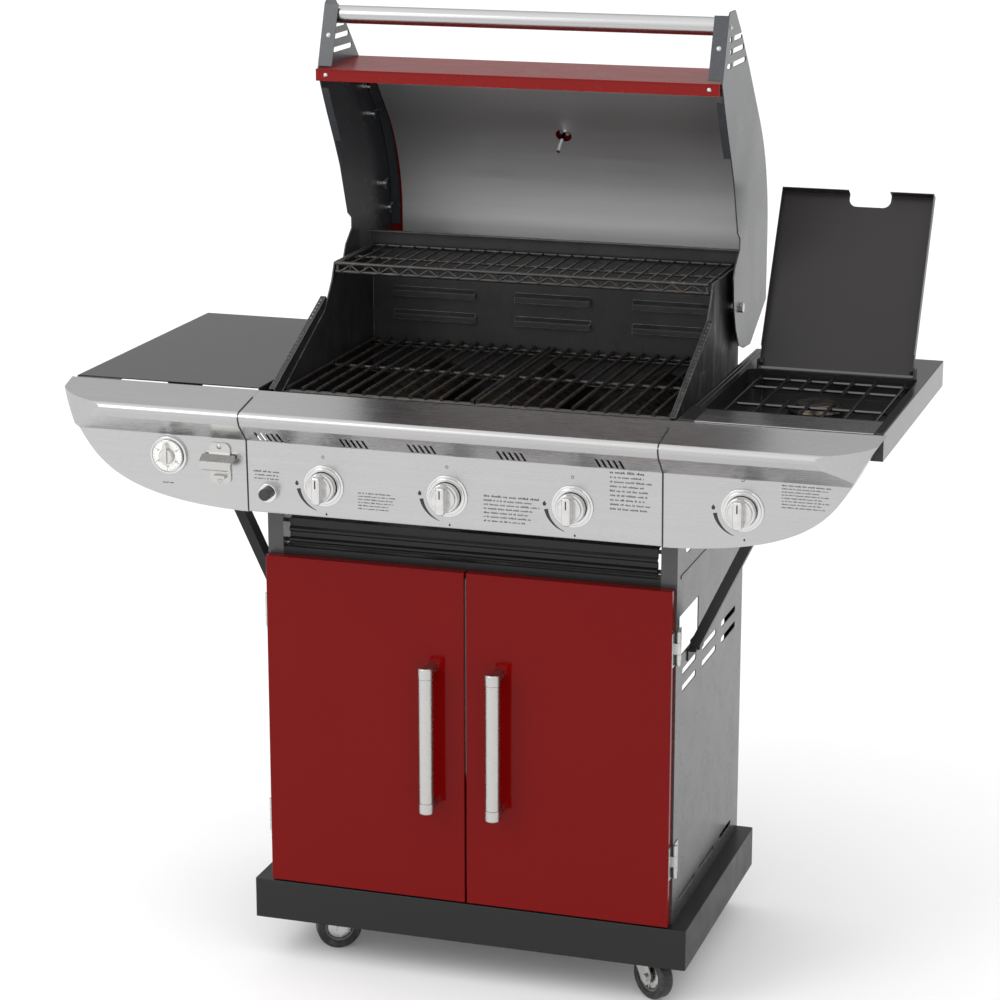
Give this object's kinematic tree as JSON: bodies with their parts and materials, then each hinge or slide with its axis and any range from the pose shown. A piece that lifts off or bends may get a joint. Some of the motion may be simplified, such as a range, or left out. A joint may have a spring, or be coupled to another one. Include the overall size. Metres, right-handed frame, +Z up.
{
  "type": "gas barbecue grill",
  "caption": "Freestanding gas barbecue grill on casters with hinged lid, two-door cabinet, stainless control panel, side shelf and side burner with flip-up lid.",
  "frame": {"origin": "on the floor under the middle of the grill's bounding box, lid and side-burner lid open", "axes": "+Z up, +X to the cook's right along the shelves, the cook stands on the -Y side"},
  "size_m": [1.2386, 0.671, 1.452],
  "materials": {
    "black_frame": "satin powder coat",
    "side_grey": "semi-gloss powder coat",
    "door_red": "deep gloss enamel",
    "lid_red": "gloss enamel",
    "stainless": "horizontal brushed grain",
    "liner_steel": "dull brushed",
    "satin_nickel": "satin",
    "chrome_trim": "polished",
    "silver_knob": "metallised satin",
    "zinc": "bright zinc plate",
    "black_plastic": "moulded",
    "caster_rubber": "matte",
    "brass_fittings": "machined",
    "shelf_black": "semi-gloss powder coat",
    "burner_lid": "semi-gloss powder coat",
    "burner_steel": "heat-dulled",
    "wire_chrome": "plated wire",
    "firebox_black": "matte high-heat paint",
    "grate_enamel": "porcelain enamel",
    "hammertone": "fine hammertone"
  },
  "bodies": {
    "cart": {"base_tray": "black_frame", "caster_plates": "zinc", "side_panel_right": "side_grey", "side_panel_left": "side_grey", "cabinet_rails": "black_frame", "door_magnets": "black_plastic", "frame_hinge_leaves": "zinc", "control_panel": "stainless", "left_fascia": "stainless", "right_fascia": "stainless", "panel_bezels": "chrome_trim", "bottle_opener": "satin_nickel", "gas_manifold": "brass_fittings", "left_shelf": "shelf_black", "right_shelf": "shelf_black", "side_burner": "burner_steel", "side_burner_grate": "wire_chrome", "shelf_struts": "black_frame", "firebox": "firebox_black", "firebox_wings": "firebox_black", "rear_baffle": "firebox_black", "cooking_grate_right": "grate_enamel", "cooking_grate_left": "grate_enamel", "heat_tents": "burner_steel", "main_burners": "burner_steel", "warming_rack": "grate_enamel", "lid_pivot_bolts": "zinc"},
    "right_door": {"right_door": "door_red", "right_door_handle": "satin_nickel", "right_hinge_leaves": "zinc"},
    "left_door": {"left_door": "door_red", "left_door_handle": "satin_nickel", "left_hinge_leaves": "zinc"},
    "lid": {"lid_skin": "lid_red", "lid_liner": "liner_steel", "lid_end_plates": "hammertone", "lid_handle": "stainless", "thermometer": "chrome_trim", "lid_fasteners": "zinc"},
    "side_burner_lid": {"side_burner_lid": "burner_lid"},
    "grease_drawer": {"grease_tray": "zinc", "grease_cup": "zinc"},
    "igniter": {"igniter_button": "black_plastic"},
    "timer": {"timer_dial": "silver_knob"},
    "valve_stem_1": {"valve_stem_1": "zinc"},
    "knob_1": {"knob_1": "silver_knob"},
    "valve_stem_2": {"valve_stem_2": "zinc"},
    "knob_2": {"knob_2": "silver_knob"},
    "valve_stem_3": {"valve_stem_3": "zinc"},
    "knob_3": {"knob_3": "silver_knob"},
    "valve_stem_4": {"valve_stem_4": "zinc"},
    "knob_4": {"knob_4": "silver_knob"},
    "swivel_fl": {"caster_fork_fl": "zinc"},
    "wheel_fl": {"caster_wheel_fl": "caster_rubber"},
    "swivel_fr": {"caster_fork_fr": "zinc"},
    "wheel_fr": {"caster_wheel_fr": "caster_rubber"},
    "swivel_rl": {"caster_fork_rl": "zinc"},
    "wheel_rl": {"caster_wheel_rl": "caster_rubber"},
    "swivel_rr": {"caster_fork_rr": "zinc"},
    "wheel_rr": {"caster_wheel_rr": "caster_rubber"}
  },
  "joints": [
    {"name": "lid_hinge", "type": "hinge", "parent": "cart", "child": "lid", "pos_m": [0, 0.1555, 0.994], "axis": [1, 0, 0], "range_deg": [0, 78]},
    {"name": "side_burner_lid_hinge", "type": "hinge", "parent": "cart", "child": "side_burner_lid", "pos_m": [0.4725, 0.1285, 0.918], "axis": [1, 0, 0], "range_deg": [0, 120]},
    {"name": "right_door_hinge", "type": "hinge", "parent": "cart", "child": "right_door", "pos_m": [0.321, -0.2185, 0.396], "axis": [0, 0, 1], "range_deg": [0, 110]},
    {"name": "left_door_hinge", "type": "hinge", "parent": "cart", "child": "left_door", "pos_m": [-0.321, -0.2185, 0.396], "axis": [0, 0, 1], "range_deg": [-110, 0]},
    {"name": "grease_drawer_slide", "type": "slide", "parent": "cart", "child": "grease_drawer", "axis": [0, 1, 0], "range_m": [0, 0.3]},
    {"name": "igniter_push", "type": "slide", "parent": "cart", "child": "igniter", "axis": [0, 1, 0], "range_m": [0, 0.006], "stiffness_N_per_m": 1500},
    {"name": "timer_turn", "type": "hinge", "parent": "cart", "child": "timer", "pos_m": [-0.4385, -0.3065, 0.8135], "axis": [0, -1, 0], "range_deg": [-330, 0]},
    {"name": "valve_push_1", "type": "slide", "parent": "cart", "child": "valve_stem_1", "axis": [0, 1, 0], "range_m": [0, 0.004], "stiffness_N_per_m": 2000},
    {"name": "knob_turn_1", "type": "hinge", "parent": "valve_stem_1", "child": "knob_1", "pos_m": [-0.195, -0.3165, 0.785], "axis": [0, -1, 0], "range_deg": [0, 205]},
    {"name": "valve_push_2", "type": "slide", "parent": "cart", "child": "valve_stem_2", "axis": [0, 1, 0], "range_m": [0, 0.004], "stiffness_N_per_m": 2000},
    {"name": "knob_turn_2", "type": "hinge", "parent": "valve_stem_2", "child": "knob_2", "pos_m": [-0.005, -0.3165, 0.785], "axis": [0, -1, 0], "range_deg": [0, 205]},
    {"name": "valve_push_3", "type": "slide", "parent": "cart", "child": "valve_stem_3", "axis": [0, 1, 0], "range_m": [0, 0.004], "stiffness_N_per_m": 2000},
    {"name": "knob_turn_3", "type": "hinge", "parent": "valve_stem_3", "child": "knob_3", "pos_m": [0.183, -0.3165, 0.785], "axis": [0, -1, 0], "range_deg": [0, 205]},
    {"name": "valve_push_4", "type": "slide", "parent": "cart", "child": "valve_stem_4", "axis": [0, 1, 0], "range_m": [0, 0.004], "stiffness_N_per_m": 2000},
    {"name": "knob_turn_4", "type": "hinge", "parent": "valve_stem_4", "child": "knob_4", "pos_m": [0.43, -0.3165, 0.8], "axis": [0, -1, 0], "range_deg": [0, 205]},
    {"name": "caster_swivel_fl", "type": "hinge", "parent": "cart", "child": "swivel_fl", "pos_m": [-0.26, -0.181, 0.098], "axis": [0, 0, 1], "continuous": true},
    {"name": "wheel_roll_fl", "type": "hinge", "parent": "swivel_fl", "child": "wheel_fl", "pos_m": [-0.2336, -0.16476, 0.0355], "axis": [-0.524, 0.8517, 0], "continuous": true},
    {"name": "caster_swivel_fr", "type": "hinge", "parent": "cart", "child": "swivel_fr", "pos_m": [0.26, -0.181, 0.098], "axis": [0, 0, 1], "continuous": true},
    {"name": "wheel_roll_fr", "type": "hinge", "parent": "swivel_fr", "child": "wheel_fr", "pos_m": [0.28539, -0.19878, 0.0355], "axis": [0.5736, 0.8192, 0], "continuous": true},
    {"name": "caster_swivel_rl", "type": "hinge", "parent": "cart", "child": "swivel_rl", "pos_m": [-0.26, 0.1505, 0.098], "axis": [0, 0, 1], "continuous": true},
    {"name": "wheel_roll_rl", "type": "hinge", "parent": "swivel_rl", "child": "wheel_rl", "pos_m": [-0.28629, 0.16693, 0.0355], "axis": [-0.5299, -0.848, 0], "continuous": true},
    {"name": "caster_swivel_rr", "type": "hinge", "parent": "cart", "child": "swivel_rr", "pos_m": [0.26, 0.1505, 0.098], "axis": [0, 0, 1], "continuous": true},
    {"name": "wheel_roll_rr", "type": "hinge", "parent": "swivel_rr", "child": "wheel_rr", "pos_m": [0.28375, 0.17043, 0.0355], "axis": [-0.6428, 0.766, 0], "continuous": true}
  ]
}
